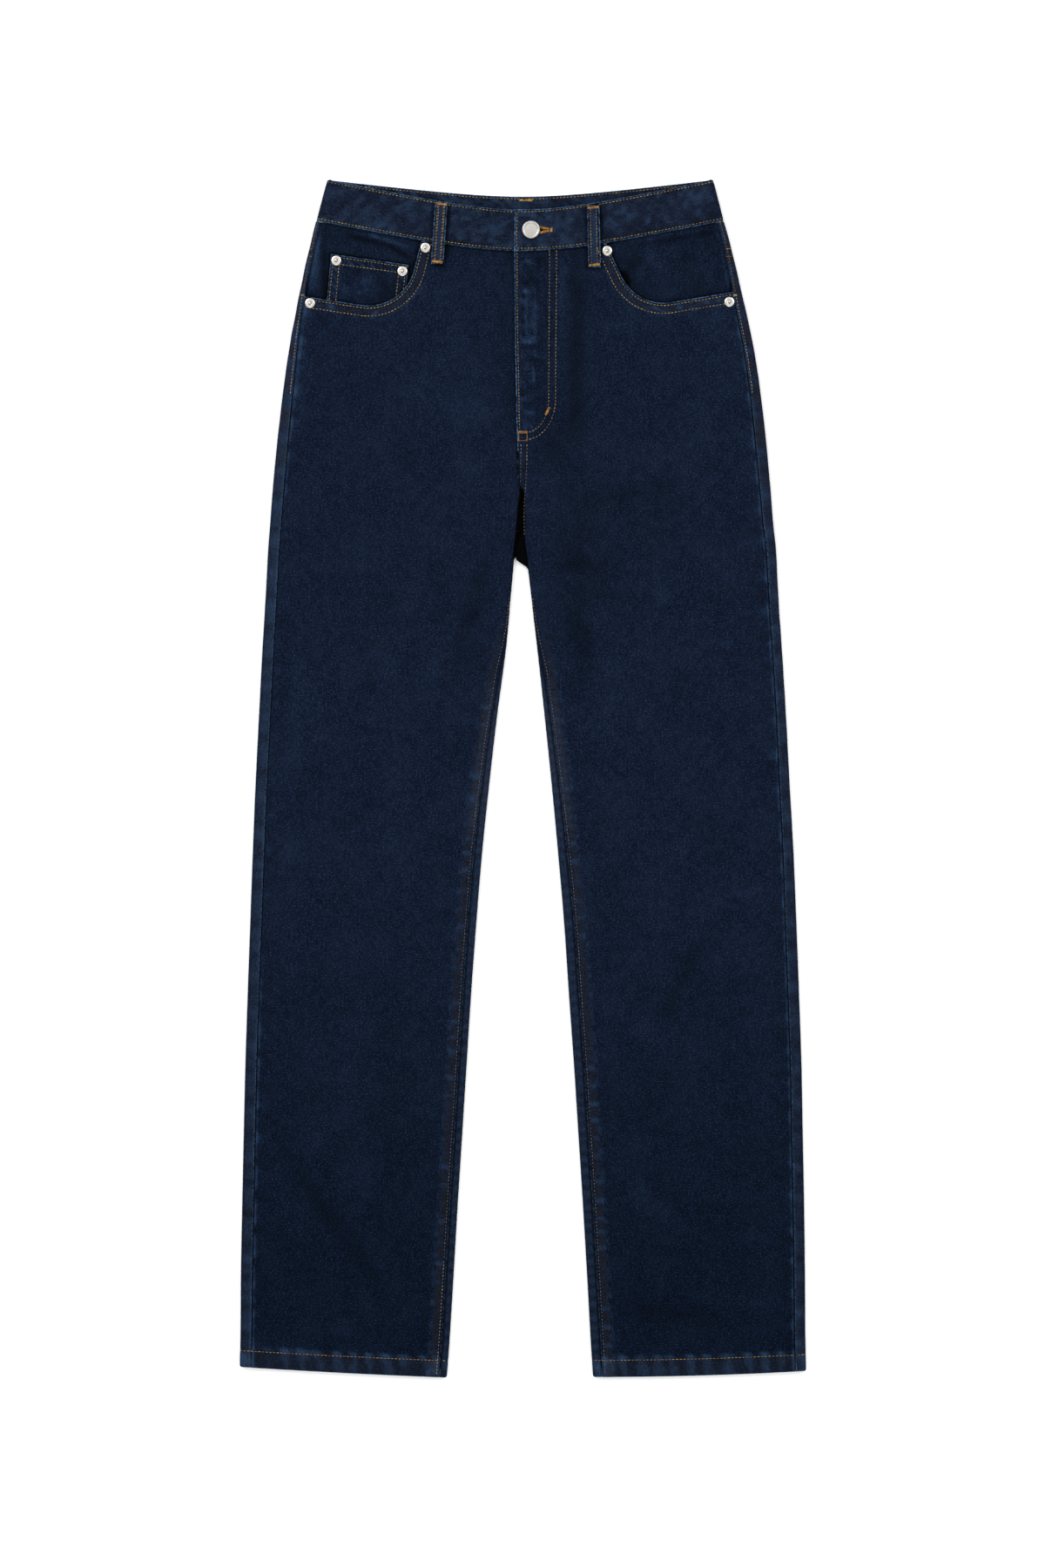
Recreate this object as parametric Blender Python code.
"""Slim fit jeans laid flat on a table, front up.

The waist points to +Y, the hems to -Y and the wearer's left to +X; the table is z = 0.
Each cut piece of denim is a closed wall of cloth: a grid of points on its outer face, joined at the
edges to the same grid moved in by the cloth's thickness.  The tables and sizes are in millimetres,
and MM turns them into metres where a mesh is made.  Right and left are the wearer's.
"""

import math
from bisect import bisect_right
from collections import namedtuple

import bmesh
import bpy
from mathutils import Vector

MM = 0.001

# Cloth
PLY = 1.2                 # one layer of denim
BAND_PLY = 2.4            # the waistband is folded double
HEM_PLY = 2.2             # the turned hem
LOOP_PLY = 1.6            # a belt loop
GAP = 0.3                 # between pieces at a seam, and between layers
BAND_GAP = 0.5            # between the waistband's curved edge and the panels' own chords

# Heights of the lying garment
SEAT_LIFT = 1.5           # the seat lies on its pockets and belt loops
LEG_FOLD = 2.6            # outer radius of the folds of the legs
HIP_FOLD = 2.85           # outer radius of the folds at the hips
HEM_FOLD = 2.9            # outer radius of the folds of the hems
CROTCH_FOLD = 1.6         # outer radius of the fold between the legs
LEG_HOLLOW = 1.5          # between front and back in the middle of a leg
BAND_FOLD = 3.25          # outer radius of the waistband's folds
UNDERLAP_DROP = 2.0       # the right front dips by this under the fly
FLY_RISE = 1.2            # the left front rises by this over the fly facing

# Places along the garment, all values of y
CROTCH = 229.0            # the four leg seams meet here
CROTCH_END = {"right": 202.0, "left": 193.0}      # the cloth between the legs ends here
HEM_DEPTH = 14.5
HEM_EDGE = -549.6
HEM_TILT = {"right": 11.0, "left": 5.4}           # how much higher the hem is at the outer fold
BAND_FOOT = 512.0         # lower edge of the waistband, at the side folds
BAND_HEAD = 549.8         # upper edge of the waistband, at the side folds
FRONT_SAG = 27.8          # the band's edges are this much lower at the centre front
BACK_SAG = 16.5           # and this much lower at the centre back
SAG_FADE = 400.0          # the front's rows are level again here
SAG_SHARPNESS = 0.35
YOKE_SIDE = 483.0         # the yoke seam at the side folds
YOKE_DROP = 53.0          # and how much lower it is at the centre back
YOKE_FADE = 330.0         # the back's rows are level again here

# The fly
UNDERLAP_X = 10.0         # the right front ends here, under the fly
UNDERLAP_START = 304.0
UNDERLAP_FULL = 316.0
FLY_FACING_X = 32.5       # the straight stretch of the J
FLY_FACING_BEND = 348.0   # the J starts to turn in here
FLY_FACING_TIP = 309.0
FLY_FACING_FOOT_X = 2.0

Outline = namedtuple("Outline", "y right_out right_in left_in left_out")
OUTLINE = [
    # The folded edges of the legs.  From the crotch down to its end, the inner values are the inseams.
    Outline(-549.6, -260.4, -70.0, 64.4, 260.4),
    Outline(-518.0, -259.8, -67.6, 62.4, 259.8),
    Outline(-454.0, -259.4, -63.6, 58.8, 259.4),
    Outline(-390.0, -258.2, -59.8, 55.0, 258.6),
    Outline(-326.0, -256.8, -55.7, 50.9, 257.4),
    Outline(-262.0, -255.3, -51.7, 46.8, 256.2),
    Outline(-198.0, -253.2, -47.6, 42.2, 254.0),
    Outline(-134.0, -250.9, -42.9, 37.9, 251.6),
    Outline(-70.0, -248.6, -37.6, 32.4, 249.0),
    Outline(-6.0, -246.0, -31.0, 26.4, 245.4),
    Outline(58.0, -242.8, -23.6, 19.8, 242.0),
    Outline(122.0, -239.4, -15.2, 12.8, 238.0),
    Outline(154.0, -237.4, -12.2, 9.0, 235.7),
    Outline(193.0, -235.2, -9.0, 5.1, 233.6),
    Outline(202.0, -234.8, -8.3, 3.8, 233.2),
    Outline(214.0, -234.0, -5.0, 1.6, 232.4),
    Outline(229.0, -232.8, -0.9, 0.7, 230.6),
    Outline(266.0, -230.0, 0.0, 0.0, 227.6),
    Outline(330.0, -223.6, 0.0, 0.0, 221.4),
    Outline(394.0, -215.0, 0.0, 0.0, 212.4),
    Outline(458.0, -202.8, 0.0, 0.0, 198.4),
    Outline(490.0, -195.6, 0.0, 0.0, 190.8),
    Outline(512.0, -190.0, 0.0, 0.0, 184.6),
    Outline(550.0, -179.8, 0.0, 0.0, 175.0),
]

Seams = namedtuple("Seams", "y right_outseam right_inseam left_inseam left_outseam")
SEAMS = [
    # How far the leg seams lie in from the folds, on top of the garment
    Seams(-549.6, 9.0, 8.0, 10.4, 10.0),
    Seams(-405.0, 9.0, 8.0, 10.4, 11.4),
    Seams(-210.0, 9.0, 6.6, 8.6, 11.2),
    Seams(-85.0, 9.0, 6.4, 6.6, 11.0),
    Seams(90.0, 9.0, 4.0, 4.2, 11.0),
    Seams(160.0, 9.0, 0.0, 0.0, 11.0),
    Seams(300.0, 8.0, 0.0, 0.0, 10.5),
    Seams(410.0, 6.0, 0.0, 0.0, 10.0),
    Seams(440.0, 5.0, 0.0, 0.0, 8.6),
    Seams(484.0, 4.2, 0.0, 0.0, 6.2),
    Seams(512.0, 3.6, 0.0, 0.0, 5.6),
]

Centre = namedtuple("Centre", "y seam")
CENTRE = [
    # The rise seam, and above it the edge of the fly
    Centre(229.0, 0.0),
    Centre(250.0, -2.6),
    Centre(264.0, -3.9),
    Centre(288.0, -4.8),
    Centre(309.0, -4.1),
    Centre(358.0, -4.1),
    Centre(411.0, -5.4),
    Centre(484.0, -7.6),
]

Mouth = namedtuple("Mouth", "x y radius lean rise")
MOUTHS = {
    # A pocket mouth is an arc about (x, y), run on straight to the band and to the outseam
    "right": Mouth(-142.0, 478.0, 43.3, math.radians(14), math.radians(8.6)),
    "left": Mouth(129.0, 479.0, 42.6, math.radians(25), math.radians(9.4)),
}

Crease = namedtuple("Crease", "x_from y_from x_to y_to width height")
CREASES = [
    # Soft ridges across the fronts
    Crease(-192.0, -356.0, -118.0, -478.0, 13.0, 1.3),
    Crease(166.0, -160.0, 108.0, -262.0, 14.0, 0.9),
    Crease(-96.0, 180.0, -132.0, 62.0, 16.0, 0.8),
    Crease(62.0, 168.0, 80.0, 40.0, 16.0, 0.8),
    Crease(104.0, -372.0, 158.0, -430.0, 16.0, 0.8),
]

SIGN = {"right": -1, "left": 1}


# Curves ------------------------------------------------------------------------------------------

def mix(a, b, share):
    return a + (b - a) * share


def smooth(start, end, value):
    """0 before start, 1 past end, and a smooth step between; start may be the larger one."""
    share = min(1.0, max(0.0, (value - start) / (end - start)))
    return share * share * (3.0 - 2.0 * share)


def read(table, column, y):
    """A column's value at y, on a smooth curve through the table's rows."""
    places = [row.y for row in table]
    values = [getattr(row, column) for row in table]
    if y <= places[0] or y >= places[-1]:
        return values[0] if y <= places[0] else values[-1]
    steps = [(values[k + 1] - values[k]) / (places[k + 1] - places[k]) for k in range(len(table) - 1)]
    slopes = [steps[0]] + [(a + b) / 2 if a * b > 0 else 0.0 for a, b in zip(steps, steps[1:])] + [steps[-1]]
    k = bisect_right(places, y) - 1
    length = places[k + 1] - places[k]
    share = (y - places[k]) / length
    start, end = values[k], values[k + 1]
    bend = (slopes[k] * (1 - share) - slopes[k + 1] * share) * share * (1 - share) * length
    turn = (end - start) * share * (1 - share) * (2 * share - 1)
    return mix(start, end, share) + bend + turn


def bow(share):
    """How far a row has risen from the centre, 0, to the side fold, 1."""
    s = SAG_SHARPNESS
    return (math.hypot(share, s) - s) / (math.hypot(1.0, s) - s)


# The form of the lying garment --------------------------------------------------------------------

def lift(y):
    return SEAT_LIFT * smooth(60, 240, y)


def hips(y):
    return smooth(120, 260, y)


def hem(y):
    """1 on the hem, fading out above it."""
    return smooth(-505, HEM_EDGE + HEM_DEPTH, y)


def cloth_ply(y):
    return HEM_PLY if y < HEM_EDGE + HEM_DEPTH else PLY


def outer_fold(y):
    return mix(mix(LEG_FOLD, HIP_FOLD, hips(y)), HEM_FOLD, hem(y))


def inner_fold(side, y):
    end = CROTCH_END[side]
    return mix(CROTCH_FOLD, outer_fold(y), smooth(end + 1, end - 6, y))


def centre_line(y):
    return read(CENTRE, "seam", y)


def outer_edge(side, y):
    return read(OUTLINE, side + "_out", y)


def inner_edge(side, y):
    """The fold between the legs; above the crotch's end it has closed on the centre line."""
    if y > CROTCH_END[side]:
        return SIGN[side] * GAP / 2
    return read(OUTLINE, side + "_in", y)


def outseam(side, y):
    return outer_edge(side, y) - SIGN[side] * read(SEAMS, side + "_outseam", y)


def inseam_inset(side, y):
    """From the inner fold to the inseam, seen from above; 0 is the side of the fold."""
    if y > CROTCH_END[side]:
        return abs(read(OUTLINE, side + "_in", y)) - GAP / 2
    return read(SEAMS, side + "_inseam", y)


def inseam_angle(side, y):
    """Where on the inner fold the inseam lies: 0 at its side, a quarter turn on top."""
    inset = inseam_inset(side, y)
    return math.acos(1 - min(1.0, inset / inner_fold(side, y)))


def fly_outline(y):
    """x of the J-shaped fly facing's outer edge: straight, then a quarter of an ellipse."""
    drop = min(1.0, max(0.0, (FLY_FACING_BEND - y) / (FLY_FACING_BEND - FLY_FACING_TIP)))
    return mix(FLY_FACING_FOOT_X, FLY_FACING_X, math.sqrt(1 - drop * drop))


def fly_distance(x, y):
    """Distance from that outline, negative inside it."""
    width = FLY_FACING_X - FLY_FACING_FOOT_X
    depth = FLY_FACING_BEND - FLY_FACING_TIP
    if y > FLY_FACING_BEND:
        return x - FLY_FACING_X
    return (math.hypot((x - FLY_FACING_FOOT_X) / width, (FLY_FACING_BEND - y) / depth) - 1) * width


def crease_height(x, y):
    total = 0.0
    for crease in CREASES:
        along = Vector((crease.x_to - crease.x_from, crease.y_to - crease.y_from))
        to_point = Vector((x - crease.x_from, y - crease.y_from))
        share = to_point.dot(along) / along.length_squared
        across = abs(along.x * to_point.y - along.y * to_point.x) / along.length
        ends = smooth(-0.15, 0.25, share) * smooth(1.15, 0.75, share)
        total += crease.height * ends * smooth(crease.width, 0.0, across)
    return total


def rise_height(y):
    """Top of the fronts along the rise seam, which sinks towards the crotch."""
    full = SEAT_LIFT + 2 * HIP_FOLD
    low = SEAT_LIFT + 2 * CROTCH_FOLD
    return mix(low, full, smooth(CROTCH, 288, y))


def front_height(side, x, y):
    """Top of a front panel at a point seen from above."""
    sign = SIGN[side]
    edge = lift(y) + 2 * outer_fold(y)
    middle = mix(lift(y) + 2 * PLY + LEG_HOLLOW, SEAT_LIFT + 2 * HIP_FOLD, hips(y))
    middle = mix(middle, edge, hem(y))
    from_outer = abs(outer_edge(side, y) - x)
    height = mix(edge, middle + crease_height(x, y), smooth(8, 40, from_outer))
    if y > CROTCH:
        inner, start, reach = centre_line(y), rise_height(y), 12.0
    elif y > CROTCH_END[side]:
        inner, start, reach = read(OUTLINE, side + "_in", y), lift(y) + 2 * CROTCH_FOLD, 12.0
    else:
        inner, start = inner_edge(side, y), lift(y) + 2 * inner_fold(side, y)
        reach = mix(12.0, 36.0, smooth(CROTCH_END[side], 100, y))
    height = mix(start, height, smooth(2, reach, sign * (x - inner)))
    if side == "left":
        return height + FLY_RISE * smooth(9, 3, fly_distance(x, y)) * smooth(296, 304, y)
    return height - UNDERLAP_DROP * smooth(-24, -8, x) * smooth(298, UNDERLAP_START, y)


def tilt(side, x, y):
    """The hem's slope: how much higher a point of the row at y lies, seen from above."""
    inner, outer = inner_edge(side, y), outer_edge(side, y)
    share = min(1.0, max(0.0, (x - inner) / (outer - inner)))
    return HEM_TILT[side] * share * smooth(-400, HEM_EDGE, y)


def front_row(side, x, y):
    """The rows of the fronts sag like the waistband above and tilt like the hem below."""
    sag = FRONT_SAG * smooth(SAG_FADE, BAND_FOOT, y)
    return y - sag * (1 - bow(min(1.0, abs(x / outer_edge(side, y))))) + tilt(side, x, y)


def back_row(side, x, y, on_top):
    """The rows of the back follow the fronts' on top and drop to the centre back underneath."""
    share = min(1.0, abs(x / outer_edge(side, y)))
    if on_top or y < YOKE_FADE:
        return front_row(side, x, y)
    yoke_drop = YOKE_DROP * (1 - share)
    if y < YOKE_SIDE:
        return y - yoke_drop * (y - YOKE_FADE) / (YOKE_SIDE - YOKE_FADE)
    return y - mix(yoke_drop, BACK_SAG * (1 - bow(share)), (y - YOKE_SIDE) / (BAND_FOOT - YOKE_SIDE))


# Meshes -------------------------------------------------------------------------------------------

def make_material(name, color, roughness, metallic):
    material = bpy.data.materials.new(name)
    material.use_nodes = True
    surface = material.node_tree.nodes["Principled BSDF"]
    surface.inputs["Base Color"].default_value = (*color, 1.0)
    surface.inputs["Roughness"].default_value = roughness
    surface.inputs["Metallic"].default_value = metallic
    return material


def add_object(name, build, material):
    """Turn a bmesh in millimetres into an object in metres, with its faces pointing out."""
    bmesh.ops.recalc_face_normals(build, faces=build.faces)
    bmesh.ops.scale(build, vec=(MM, MM, MM), verts=build.verts)
    mesh = bpy.data.meshes.new(name)
    build.to_mesh(mesh)
    build.free()
    mesh.materials.append(material)
    thing = bpy.data.objects.new(name, mesh)
    bpy.context.scene.collection.objects.link(thing)
    return thing


def add_wall(name, outer, inner, material):
    """A wall of cloth between two grids of points, closed along its four edges."""
    build = bmesh.new()
    rows, columns = len(outer), len(outer[0])
    faces = {}
    for key, grid in (("outer", outer), ("inner", inner)):
        faces[key] = [[build.verts.new(point) for point in row] for row in grid]
        for i in range(rows - 1):
            for j in range(columns - 1):
                grid_verts = faces[key]
                build.faces.new((grid_verts[i][j], grid_verts[i][j + 1],
                                 grid_verts[i + 1][j + 1], grid_verts[i + 1][j]))
    rim = [(0, j) for j in range(columns)] + [(i, columns - 1) for i in range(1, rows)]
    rim += [(rows - 1, j) for j in range(columns - 2, -1, -1)] + [(i, 0) for i in range(rows - 2, 0, -1)]
    for (i, j), (k, m) in zip(rim, rim[1:] + rim[:1]):
        build.faces.new((faces["outer"][i][j], faces["outer"][k][m],
                         faces["inner"][k][m], faces["inner"][i][j]))
    return add_object(name, build, material)


def add_plate(name, outline, low, high, material):
    """A flat plate over an outline seen from above."""
    build = bmesh.new()
    bottom = build.faces.new([build.verts.new((x, y, low)) for x, y in outline])
    top = bmesh.ops.extrude_face_region(build, geom=[bottom])
    lifted = [item for item in top["geom"] if isinstance(item, bmesh.types.BMVert)]
    bmesh.ops.translate(build, verts=lifted, vec=(0, 0, high - low))
    return add_object(name, build, material)


def add_turned(name, profile, center, material, segments=16):
    """A solid of revolution about the vertical through center; profile runs (radius, height)."""
    build = bmesh.new()
    bottom = build.verts.new((0, 0, profile[0][1]))
    top = build.verts.new((0, 0, profile[-1][1]))
    rings = []
    for radius, height in profile:
        turns = [2 * math.pi * k / segments for k in range(segments)]
        rings.append([build.verts.new((radius * math.cos(a), radius * math.sin(a), height)) for a in turns])
    for lower, upper in zip(rings, rings[1:]):
        for k in range(segments):
            m = (k + 1) % segments
            build.faces.new((lower[k], lower[m], upper[m], upper[k]))
    for ring, tip in ((rings[0], bottom), (rings[-1], top)):
        for k in range(segments):
            build.faces.new((ring[k], ring[(k + 1) % segments], tip))
    thing = add_object(name, build, material)
    thing.location = [value * MM for value in center]
    thing.data.shade_smooth()
    thing.data.set_sharp_from_angle(angle=math.radians(35))
    return thing


def cut_with(thing, cutter):
    """Cut one object with another that stays only as a guide."""
    cutter.hide_render = True
    cutter.display_type = "WIRE"
    boolean = thing.modifiers.new("Cut", "BOOLEAN")
    boolean.operation = "DIFFERENCE"
    boolean.solver = "EXACT"
    boolean.object = cutter


# Back panels and yokes ----------------------------------------------------------------------------

OUTER_STEPS = 8           # round the outer fold
FLAT_STEPS = 5            # across the back
INNER_STEPS = 8           # round the inner fold, or on to the centre back
CENTRE_STRETCH = 14.0     # the seat's last stretch before the centre back
OPEN_CROTCH = 224.0       # from here down the back wraps up to the inseam
CROTCH_EASE = 0.9         # its first such section ends this much short of the seam


def outer_wrap(side, y, share, depth):
    """From the outseam on top, 0, round the outer fold to the underside, 1."""
    sign, radius = SIGN[side], outer_fold(y)
    centre = outer_edge(side, y) - sign * radius
    strip = max(0.0, read(SEAMS, side + "_outseam", y) - radius) - GAP / 2
    run = share * (strip + math.pi * radius)
    if run < strip:
        return centre - sign * (strip - run), lift(y) + 2 * radius - depth
    angle = math.pi / 2 - (run - strip) / radius
    reach = radius - depth
    return centre + sign * reach * math.cos(angle), lift(y) + radius + reach * math.sin(angle)


def inner_wrap(side, y, share, depth):
    """From the underside, 0, round the inner fold to the inseam, or flat to the centre back, 1."""
    sign = SIGN[side]
    if y > OPEN_CROTCH:
        return sign * (GAP / 2 + CENTRE_STRETCH * (1 - share)), lift(y) + depth
    radius, angle = inner_fold(side, y), inseam_angle(side, y)
    centre = inner_edge(side, y) + sign * radius
    arc = radius * (angle + math.pi / 2)
    strip = max(0.0, inseam_inset(side, y) - radius)
    ease = CROTCH_EASE if y == OPEN_CROTCH else 0.0
    run = share * (arc + strip - GAP / 2 - ease)
    if run > arc:
        return centre + sign * (run - arc), lift(y) + 2 * radius - depth
    angle = run / radius - math.pi / 2
    reach = radius - depth
    return centre - sign * reach * math.cos(angle), lift(y) + radius + reach * math.sin(angle)


def back_section(side, y, depth):
    """One section of a back panel: x and z from the outseam round to the inseam or centre back."""
    around = [outer_wrap(side, y, k / OUTER_STEPS, depth) for k in range(OUTER_STEPS + 1)]
    ending = [inner_wrap(side, y, k / INNER_STEPS, depth) for k in range(INNER_STEPS + 1)]
    start, end = around[-1], ending[0]
    flat = [(mix(start[0], end[0], k / FLAT_STEPS), mix(start[1], end[1], k / FLAT_STEPS))
            for k in range(1, FLAT_STEPS)]
    return around + flat + ending


def add_back_piece(name, side, rows, material):
    """A piece of the back, with its rows at the given heights on the side fold."""
    faces = ([], [])
    for y in rows:
        for face in (0, 1):
            section = back_section(side, y, face * cloth_ply(y))
            middle = lift(y) + outer_fold(y)
            faces[face].append([(x, back_row(side, x, y, z > middle), z) for x, z in section])
    return add_wall(name, faces[0], faces[1], material)


HIP_ROWS = [462, 430, 400, 360, 330, 298, 264]
LEG_ROWS = [178, 160, 122, 58, -38, -134, -230, -326, -422, -500, -535.05, -535.15, HEM_EDGE]
YOKE_ROWS = [BAND_FOOT - BAND_GAP, mix(YOKE_SIDE, BAND_FOOT, 0.5)]


def crotch_rows(side):
    end = CROTCH_END[side]
    return [OPEN_CROTCH, mix(OPEN_CROTCH, end, 0.5), end + 1.5, end - 2, end - 7]


def build_backs(denim):
    for side in SIGN:
        rows = [YOKE_SIDE - GAP / 2] + HIP_ROWS + [CROTCH] + crotch_rows(side) + LEG_ROWS
        add_back_piece("back_" + side, side, rows, denim)
        add_back_piece("yoke_" + side, side, YOKE_ROWS + [YOKE_SIDE + GAP / 2], denim)


# Front panels -------------------------------------------------------------------------------------

LEG_COLUMNS = [0.0, 1.4, 2.9, 4.6, 8.0, 15.0, 27.0]        # from the inner seam, in the legs
UNDERLAP_COLUMNS = [0.0, 4.5, 9.0, 13.5, 19.0, 27.0, 38.0]  # from the right front's edge under the fly
OUTER_SHARES = [0.28, 0.56, 0.8, 0.94, 1.0]                # on to the outseam


def front_inner_end(side, y):
    """x where a front panel ends at the rise seam or under the fly."""
    if side == "left":
        return centre_line(y) + GAP / 2
    return mix(centre_line(y) - GAP / 2, UNDERLAP_X, smooth(UNDERLAP_START, UNDERLAP_FULL, y))


def columns(side, y):
    """Runs from the inner seam to a row's first points; on the left they follow the fly's J."""
    edge = fly_outline(y) - centre_line(y)
    over = [0.0, edge / 4, edge / 2, edge + 3, edge + 6, edge + 9, edge + 22]
    fly = over if side == "left" else UNDERLAP_COLUMNS
    return [mix(a, b, smooth(290, UNDERLAP_START, y)) for a, b in zip(LEG_COLUMNS, fly)]


def front_point(side, y, run, depth):
    """x and z of a front panel, a run along its face from the inner seam."""
    sign = SIGN[side]
    if y > CROTCH:
        x = front_inner_end(side, y) + sign * run
        return x, front_height(side, x, y) - depth
    radius, angle = inner_fold(side, y), inseam_angle(side, y)
    run += GAP / 2
    arc = radius * (math.pi / 2 - angle)
    if run < arc:
        angle += run / radius
        centre, reach = inner_edge(side, y) + sign * radius, radius - depth
        return centre - sign * reach * math.cos(angle), lift(y) + radius + reach * math.sin(angle)
    x = inner_edge(side, y) + sign * (max(inseam_inset(side, y), radius) + run - arc)
    return x, front_height(side, x, y) - depth


def front_section(side, y, depth):
    section = [front_point(side, y, run, depth) for run in columns(side, y)]
    start, end = section[-1][0], outseam(side, y) - SIGN[side] * GAP / 2
    for share in OUTER_SHARES:
        x = mix(start, end, share)
        section.append((x, front_height(side, x, y) - depth))
    return section


def mouth_points(side, beyond=60.0, steps=14):
    """The pocket mouth's edge seen from above, run on past the band and past the outseam."""
    mouth, sign = MOUTHS[side], SIGN[side]
    turns = [mix(-mouth.lean, -math.pi / 2 - mouth.rise, k / steps) for k in range(steps + 1)]
    arc = [(mouth.x - sign * mouth.radius * math.cos(a), mouth.y + mouth.radius * math.sin(a)) for a in turns]
    first = (arc[0][0] - sign * beyond * math.sin(mouth.lean), arc[0][1] + beyond * math.cos(mouth.lean))
    last = (arc[-1][0] + sign * 2 * beyond * math.cos(mouth.rise), arc[-1][1] + 2 * beyond * math.sin(mouth.rise))
    return [first] + arc + [last]


def build_fronts(denim):
    for side in SIGN:
        rows = [BAND_FOOT - BAND_GAP, YOKE_SIDE] + HIP_ROWS[:5] + [UNDERLAP_FULL, UNDERLAP_START]
        rows += HIP_ROWS[5:] + [248, 236, CROTCH + 0.1] + crotch_rows(side) + LEG_ROWS
        grids = []
        for face in (0, 1):
            grids.append([[(x, front_row(side, x, y), z)
                           for x, z in front_section(side, y, face * cloth_ply(y))] for y in rows])
        panel = add_wall("front_" + side, grids[0], grids[1], denim)
        edge = mouth_points(side)
        corner = (edge[-1][0], edge[0][1])
        cutter = add_plate("mouth_cutter_" + side, edge + [corner], -5, 20, denim)
        cut_with(panel, cutter)


# Pieces at the pocket mouths and the fly ------------------------------------------------------------

FACING_LOW = 412.0        # the facing's lower edge, hidden under the front
FACING_TOP = 4.2          # height of the facing's face, well below the front's
FACING_SLOPE = 12.0       # it rises to the seams over this width
FACING_REACH = 14.0       # how far it runs under the front beside the mouth
COIN_CORNERS = [(-176.4, 481.6), (-105.2, 471.5), (-181.6, 422.0), (-111.4, 414.0)]


def mouth_depth(side, x, y):
    """Distance into the mouth from its edge; negative under the front."""
    mouth = MOUTHS[side]
    across, up = -SIGN[side] * (x - mouth.x), y - mouth.y
    towards_band = across * math.cos(mouth.lean) - up * math.sin(mouth.lean)
    towards_leg = -across * math.sin(mouth.rise) - up * math.cos(mouth.rise)
    farthest = max(towards_band, towards_leg)
    if -math.pi / 2 - mouth.rise < math.atan2(up, across) < -mouth.lean:
        farthest = max(farthest, math.hypot(across, up))
    return mouth.radius - farthest


def facing_height(side, x, y):
    """Top of the pocket facing: low in the mouth, level with the front at the band and outseam."""
    share = min(1.0, abs(x / outer_edge(side, y)))
    to_band = BAND_FOOT - FRONT_SAG * (1 - bow(share)) - y
    to_outseam = abs(outseam(side, y) - x)
    rise = max(smooth(FACING_SLOPE, 1, to_band), smooth(FACING_SLOPE, 1, to_outseam))
    return mix(FACING_TOP, SEAT_LIFT + 2 * HIP_FOLD, rise * smooth(2, 14, mouth_depth(side, x, y)))


def build_facings(denim):
    rows = YOKE_ROWS + [YOKE_SIDE, 472, 462, 452, 444, 430, FACING_LOW]
    shares = [0.0, 0.1, 0.2, 0.4, 0.6, 0.8, 1.0]
    for side, sign in SIGN.items():
        inner = MOUTHS[side].x - sign * (MOUTHS[side].radius + FACING_REACH)
        faces = ([], [])
        for y in rows:
            tucked = smooth(462, 444, y)
            outer = outseam(side, y) - sign * (GAP / 2 + 2.5 * tucked)
            for face in (0, 1):
                line = []
                for share in shares:
                    x = mix(outer, inner, share)
                    course = front_row(side, x, y)
                    line.append((x, course, facing_height(side, x, course) - face * PLY))
                faces[face].append(line)
        add_wall("pocket_facing_" + side, faces[0], faces[1], denim)


def build_coin_pocket(denim):
    """The patch on the right facing, made from the facing's own points moved up."""
    top_left, top_right, low_left, low_right = COIN_CORNERS
    faces = ([], [])
    for i in range(7):
        for face in (0, 1):
            line = []
            for j in range(7):
                left = (mix(top_left[0], low_left[0], i / 6), mix(top_left[1], low_left[1], i / 6))
                right = (mix(top_right[0], low_right[0], i / 6), mix(top_right[1], low_right[1], i / 6))
                x, y = mix(left[0], right[0], j / 6), mix(left[1], right[1], j / 6)
                line.append((x, y, facing_height("right", x, y) + GAP + (1 - face) * PLY))
            faces[face].append(line)
    add_wall("coin_pocket", faces[0], faces[1], denim)


FLY_FACING_TOP = 6.75     # between the left front and the right front's edge


def build_fly_facing(denim):
    """The J-shaped layer between the left front and the right front's edge."""
    rows = [BAND_FOOT - BAND_GAP, YOKE_SIDE, 430, 390, FLY_FACING_BEND, 334, 322, 315, 312]
    faces = ([], [])
    for y in rows:
        inner = centre_line(y) + 1.2
        outer = fly_outline(y)
        for face in (0, 1):
            line = []
            for share in (0.0, 0.33, 0.66, 1.0):
                x = mix(inner, outer, share)
                line.append((x, front_row("left", x, y), FLY_FACING_TOP - face * PLY))
            faces[face].append(line)
    add_wall("fly_facing", faces[0], faces[1], denim)


# Waistband and belt loops ---------------------------------------------------------------------------

BAND_LEFT_END = -8.0      # the left end, on top
BAND_RIGHT_END = 32.0     # the right end, under it
BAND_TOP = 8.0            # top of the band on the fronts
BAND_OVER = 9.3           # top of its left end, over the button's stand
BAND_UNDER = 6.6          # top of its right end, under it


def band_height(side, x):
    """Top of the front band: the ends lie over each other behind the button."""
    if side == "left":
        return mix(BAND_OVER, BAND_TOP, smooth(36, 70, x))
    return mix(BAND_UNDER, BAND_TOP, smooth(-10, -36, x))


def band_edge(side, level):
    """The side fold of the band, from its lower edge, level 0, to its upper edge, 1."""
    return mix(outer_edge(side, BAND_FOOT), outer_edge(side, BAND_HEAD), level)


def band_course(share, level, sag):
    """y of the band at a share of the way from the centre to the side fold."""
    return mix(BAND_FOOT, BAND_HEAD, level) - sag * (1 - bow(min(1.0, abs(share))))


def front_band_point(side, x_foot, level, depth):
    """A point of the front band above the place x_foot on its lower edge."""
    share = x_foot / band_edge(side, 0.0)
    x = share * band_edge(side, level)
    return x, band_course(share, level, FRONT_SAG), band_height(side, x) - depth


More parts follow.
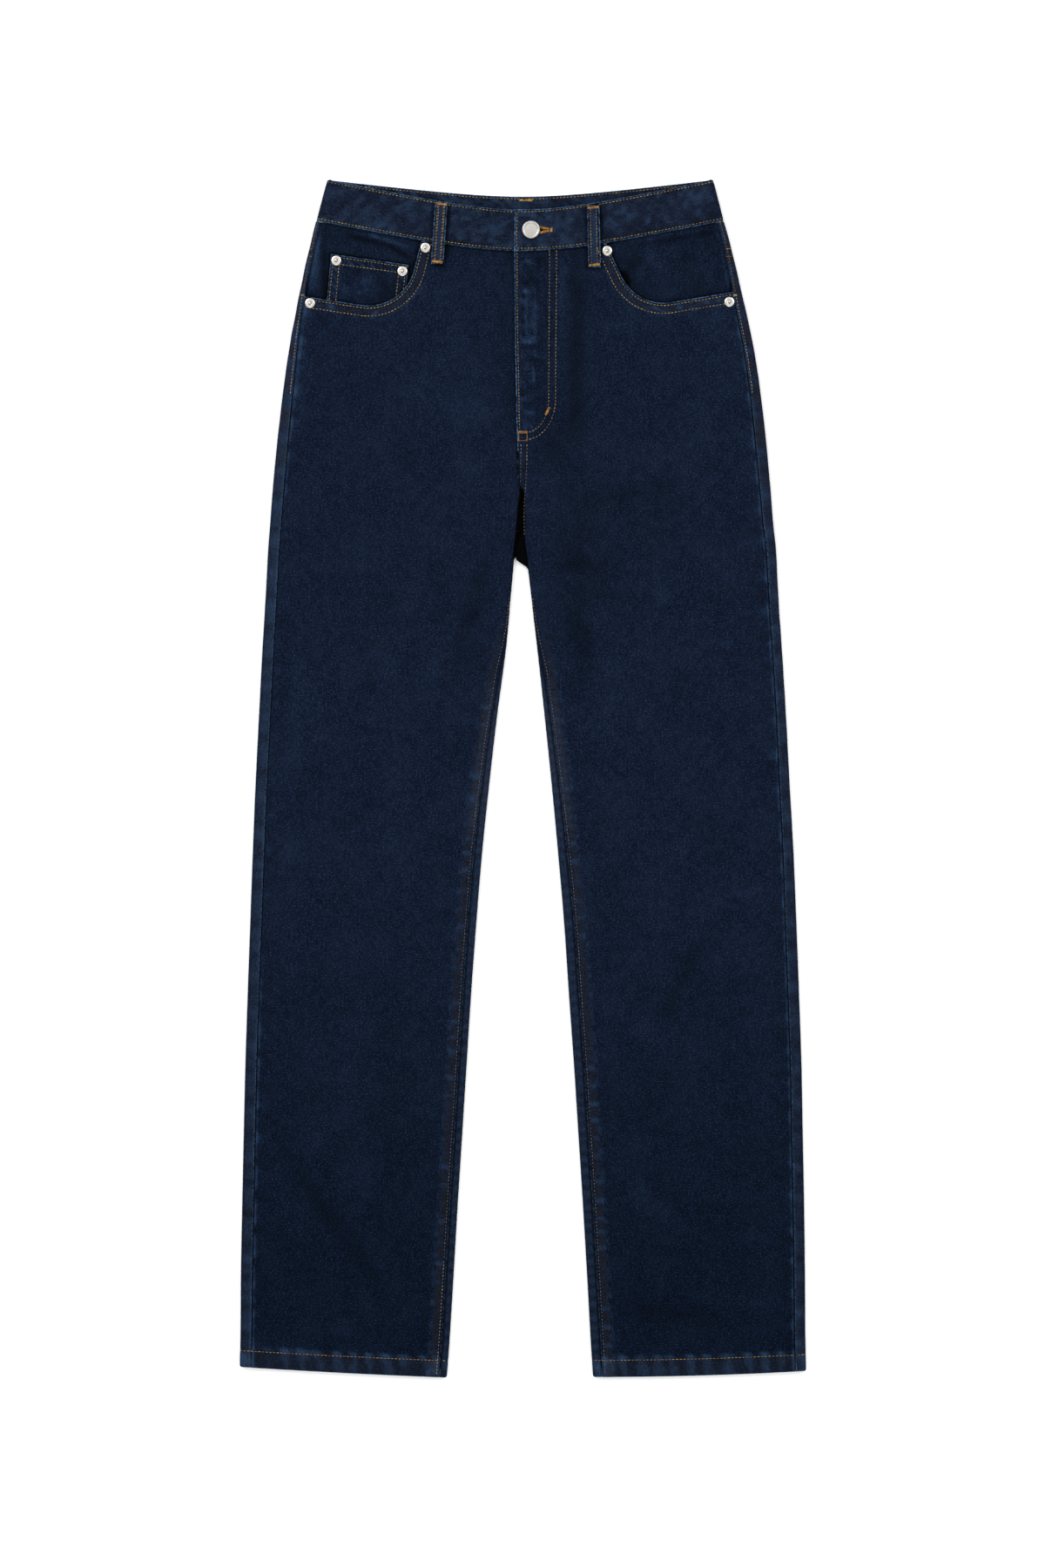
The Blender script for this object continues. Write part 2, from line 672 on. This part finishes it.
def band_station(name, value, level, depth):
    """One point of the band's loop: on a front, round a side fold, or on the back."""
    place, side = name
    if place == "front":
        return front_band_point(side, value, level, depth)
    if place == "fold":
        sign, reach = SIGN[side], BAND_FOLD - depth
        centre = band_edge(side, level) - sign * BAND_FOLD
        x, z = centre + sign * reach * math.cos(value), SEAT_LIFT + BAND_FOLD + reach * math.sin(value)
        return x, band_course(1.0, level, 0.0), z
    span = band_edge("left", level) - band_edge("right", level) - 2 * BAND_FOLD
    x = band_edge("right", level) + BAND_FOLD + value * span
    edge = band_edge("left" if x > 0 else "right", level)
    return x, band_course(x / edge, level, BACK_SAG), SEAT_LIFT + depth


def band_stations():
    """The loop from the left end over the fly, round the waist to the right end under it."""
    left_fold = band_edge("left", 0.0) - BAND_FOLD
    right_fold = band_edge("right", 0.0) + BAND_FOLD
    turns = [math.pi / 2 - math.pi * k / 6 for k in range(7)]
    stations = [(("front", "left"), x) for x in (BAND_LEFT_END, 12, 32, 44, 58, 74, 100, 130, 158)]
    stations += [(("front", "left"), left_fold - 1.0)]
    stations += [(("fold", "left"), a) for a in turns]
    stations += [(("back", None), 1 - k / 12) for k in range(1, 12)]
    stations += [(("fold", "right"), a) for a in reversed(turns)]
    stations += [(("front", "right"), right_fold + 1.0)]
    stations += [(("front", "right"), x) for x in (-160, -130, -100, -70, -44, -34, -24, -12, 0, 16, BAND_RIGHT_END)]
    return stations


BUTTON = (7.4, 503.2)     # centre of the waist button
SLIT_END = 24.0           # the buttonhole runs from the button to here


def build_waistband(denim):
    grids = []
    for depth in (0.0, BAND_PLY):
        grids.append([[band_station(name, value, level, depth) for level in (0.0, 0.5, 1.0)]
                      for name, value in band_stations()])
    band = add_wall("waistband", grids[0], grids[1], denim)
    low, eyelet, slit = BAND_UNDER + 0.15, 3.4, 0.7
    turns = [mix(0.22, 2 * math.pi - 0.22, k / 18) for k in range(19)]
    outline = [(BUTTON[0] + eyelet * math.cos(a), BUTTON[1] + eyelet * math.sin(a)) for a in turns]
    outline += [(SLIT_END, BUTTON[1] - slit), (SLIT_END, BUTTON[1] + slit)]
    cut_with(band, add_plate("buttonhole_cutter", outline, low, 20, denim))


LOOP_WIDTH = 10.8
Loop = namedtuple("Loop", "x_foot x_head y_foot y_head seam")
FRONT_LOOPS = {
    "right": Loop(-78.8, -74.8, 473.8, 528.0, 491.0),
    "left": Loop(65.8, 64.4, 470.9, 524.5, 488.6),
}
BACK_LOOPS = {"right": -98.0, "center": 2.0, "left": 96.0}


def build_front_loops(denim):
    """Strips over the band, sewn down on the front below it and at its upper edge."""
    for side, loop in FRONT_LOOPS.items():
        faces = ([], [])
        panel = front_height(side, loop.x_foot, loop.y_foot) + GAP
        band = BAND_TOP + (BAND_OVER - BAND_TOP) * smooth(70, 36, loop.x_foot * SIGN[side]) + GAP
        if side == "right":
            band = BAND_TOP + GAP
        courses = [(loop.y_foot, panel), (loop.seam - 8, panel + 0.1), (loop.seam - 2, band + 0.3),
                   (loop.seam + 8, band + 0.7), (loop.seam + 20, band + 0.8),
                   (loop.y_head - 7, band + 0.4), (loop.y_head, band + 0.1)]
        for y, low in courses:
            share = (y - loop.y_foot) / (loop.y_head - loop.y_foot)
            x = mix(loop.x_foot, loop.x_head, share)
            for face in (0, 1):
                z = low + (1 - face) * LOOP_PLY
                faces[face].append([(x - LOOP_WIDTH / 2, y, z), (x + LOOP_WIDTH / 2, y, z)])
        add_wall("belt_loop_front_" + side, faces[0], faces[1], denim)


def build_back_loops(denim):
    """Strips flat under the back of the band."""
    for place, x in BACK_LOOPS.items():
        edge = outer_edge("left" if x > 0 else "right", BAND_FOOT)
        head = band_course(x / edge, 1.0, BACK_SAG) - 1.0
        half = LOOP_WIDTH / 2
        outline = [(x - half, head - 56), (x + half, head - 56), (x + half, head), (x - half, head)]
        add_plate("belt_loop_back_" + place, outline, 0.0, SEAT_LIFT - GAP, denim)


def build_back_pockets(denim):
    """Five-sided patch pockets, which the seat lies on."""
    for side, sign in SIGN.items():
        corners = [(36, 408), (176, 421), (167, 290), (103, 264), (43, 283)]
        outline = [(sign * x, y) for x, y in corners]
        add_plate("back_pocket_" + side, outline, 0.0, SEAT_LIFT - GAP, denim)


# Metal ----------------------------------------------------------------------------------------------

RIVET_RADIUS = 4.6
RIVET_PROFILE = [(4.6, 0.0), (4.6, 0.35), (4.1, 0.8), (1.2, 1.1), (0.9, 1.5), (0.5, 1.6)]
BUTTON_PROFILE = [(2.9, 6.9), (2.9, 9.6), (8.1, 9.6), (8.5, 9.9), (8.5, 10.9), (7.9, 11.6), (6.2, 11.9),
                  (5.8, 11.6), (2.5, 11.7), (1.0, 11.9)]
FRONT_RIVETS = {
    "front_right_inner": ("right", -89.5, 487.1),
    "front_right_outer": ("right", -195.6, 436.2),
    "front_left_inner": ("left", 77.4, 484.2),
    "front_left_outer": ("left", 189.6, 437.3),
}
COIN_RIVETS = {"coin_left": (-171.6, 475.5), "coin_right": (-110.8, 465.7)}


def highest(height, x, y):
    """The highest point that a rivet at (x, y) meets."""
    around = [2 * math.pi * k / 8 for k in range(8)]
    places = [(x, y)] + [(x + RIVET_RADIUS * math.cos(a), y + RIVET_RADIUS * math.sin(a)) for a in around]
    return max(height(px, py) for px, py in places)


def build_metal(button_metal, rivet_metal):
    add_turned("waist_button", BUTTON_PROFILE, (*BUTTON, 0.0), button_metal, segments=28)
    for name, (side, x, y) in FRONT_RIVETS.items():
        top = highest(lambda px, py: front_height(side, px, py), x, y)
        add_turned("rivet_" + name, RIVET_PROFILE, (x, y, top + GAP), rivet_metal)
    for name, (x, y) in COIN_RIVETS.items():
        top = highest(lambda px, py: facing_height("right", px, py), x, y) + GAP + PLY
        add_turned("rivet_" + name, RIVET_PROFILE, (x, y, top + GAP), rivet_metal)


def main():
    for thing in list(bpy.data.objects):
        bpy.data.objects.remove(thing, do_unlink=True)
    denim = make_material("dark indigo denim", (0.0080, 0.0137, 0.0319), 0.9, 0.0)
    button_metal = make_material("matte nickel", (0.67, 0.65, 0.62), 0.38, 1.0)
    rivet_metal = make_material("polished nickel", (0.83, 0.83, 0.82), 0.25, 1.0)
    build_backs(denim)
    build_fronts(denim)
    build_facings(denim)
    build_coin_pocket(denim)
    build_fly_facing(denim)
    build_waistband(denim)
    build_front_loops(denim)
    build_back_loops(denim)
    build_back_pockets(denim)
    build_metal(button_metal, rivet_metal)


main()
